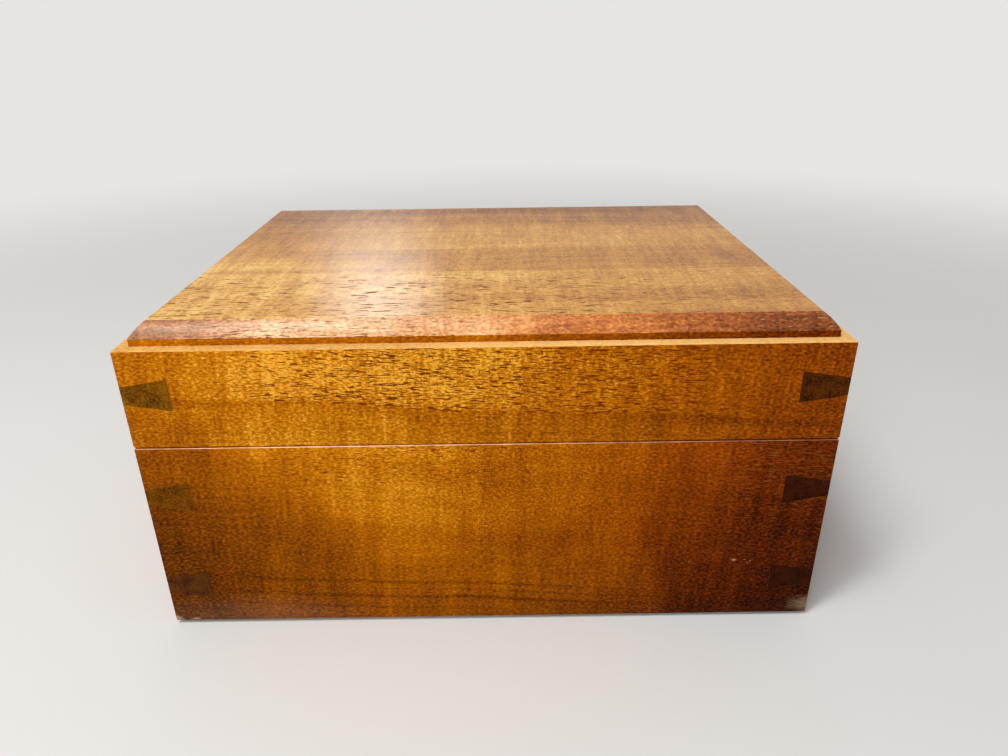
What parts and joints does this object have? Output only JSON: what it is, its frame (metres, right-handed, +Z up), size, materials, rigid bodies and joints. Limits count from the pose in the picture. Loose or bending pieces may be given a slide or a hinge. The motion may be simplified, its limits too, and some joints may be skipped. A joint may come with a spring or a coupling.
{
  "type": "humidor",
  "caption": "Mitred hardwood humidor with dovetail corner keys, a hinged lid with a raised bevelled panel, cedar lining, divider, humidifier and dial hygrometer.",
  "frame": {"origin": "middle of the felt's underside, where the box stands", "axes": "+X to the right seen from the front, +Y from the front to the hinges at the back, +Z up"},
  "size_m": [0.267, 0.208, 0.133],
  "materials": {
    "koa": "satin",
    "walnut": "satin",
    "cedar": "matte",
    "felt": "matte",
    "brass": "satin",
    "screw_brass": "satin",
    "black_plastic": "satin",
    "foam": "matte",
    "magnet": "matte",
    "steel": "satin",
    "blued_steel": "satin",
    "dial_card": "matte",
    "glass": "gloss"
  },
  "bodies": {
    "base": {"base_front": "koa", "base_back": "koa", "base_left": "koa", "base_right": "koa", "base_floor": "koa", "base_felt": "felt", "base_key_front_left_lower": "walnut", "base_key_front_left_upper": "walnut", "base_key_front_right_lower": "walnut", "base_key_front_right_upper": "walnut", "base_key_back_left_lower": "walnut", "base_key_back_left_upper": "walnut", "base_key_back_right_lower": "walnut", "base_key_back_right_upper": "walnut", "base_liner_front": "cedar", "base_liner_back": "cedar", "base_liner_left": "cedar", "base_liner_right": "cedar", "base_liner_floor": "cedar", "hinge_left_base_leaf": "brass", "hinge_right_base_leaf": "brass", "hinge_left_base_screw_1": "screw_brass", "hinge_left_base_screw_2": "screw_brass", "hinge_right_base_screw_1": "screw_brass", "hinge_right_base_screw_2": "screw_brass", "hinge_left_pin": "screw_brass", "hinge_right_pin": "screw_brass"},
    "lid": {"lid_front": "koa", "lid_back": "koa", "lid_left": "koa", "lid_right": "koa", "lid_panel": "koa", "lid_key_front_left": "walnut", "lid_key_front_right": "walnut", "lid_key_back_left": "walnut", "lid_key_back_right": "walnut", "lid_liner_front": "cedar", "lid_liner_back": "cedar", "lid_liner_left": "cedar", "lid_liner_right": "cedar", "lid_liner_ceiling": "cedar", "hinge_left_lid_leaf": "brass", "hinge_right_lid_leaf": "brass", "hinge_left_lid_screw_1": "screw_brass", "hinge_left_lid_screw_2": "screw_brass", "hinge_right_lid_screw_1": "screw_brass", "hinge_right_lid_screw_2": "screw_brass", "humidifier_plate": "steel", "hygrometer_magnet": "magnet"},
    "divider": {"divider": "cedar"},
    "humidifier": {"humidifier_case": "black_plastic", "humidifier_grille": "black_plastic", "humidifier_foam": "foam", "humidifier_magnet": "magnet"},
    "hygrometer": {"hygrometer_case": "brass", "hygrometer_bezel": "brass", "hygrometer_lens": "glass", "hygrometer_dial": "dial_card"},
    "hygrometer_hand": {"hygrometer_needle": "blued_steel"}
  },
  "joints": [
    {"name": "lid_hinge", "type": "hinge", "parent": "base", "child": "lid", "pos_m": [0, 0.098, 0.08535], "axis": [-1, 0, 0], "range_deg": [0, 95]},
    {"name": "divider_slide", "type": "slide", "parent": "base", "child": "divider", "axis": [1, 0, 0], "range_m": [-0.1385, 0.0721]},
    {"name": "humidifier_pull", "type": "slide", "parent": "lid", "child": "humidifier", "axis": [0, 0, -1], "range_m": [0, 0.034]},
    {"name": "hygrometer_pull", "type": "slide", "parent": "lid", "child": "hygrometer", "axis": [0, 0, -1], "range_m": [0, 0.032]},
    {"name": "hygrometer_reading", "type": "hinge", "parent": "hygrometer", "child": "hygrometer_hand", "pos_m": [-0.06303, 0, 0.1075], "axis": [0, 0, 1], "range_deg": [-189, 81], "stiffness_Nm_per_rad": 0.00005}
  ]
}
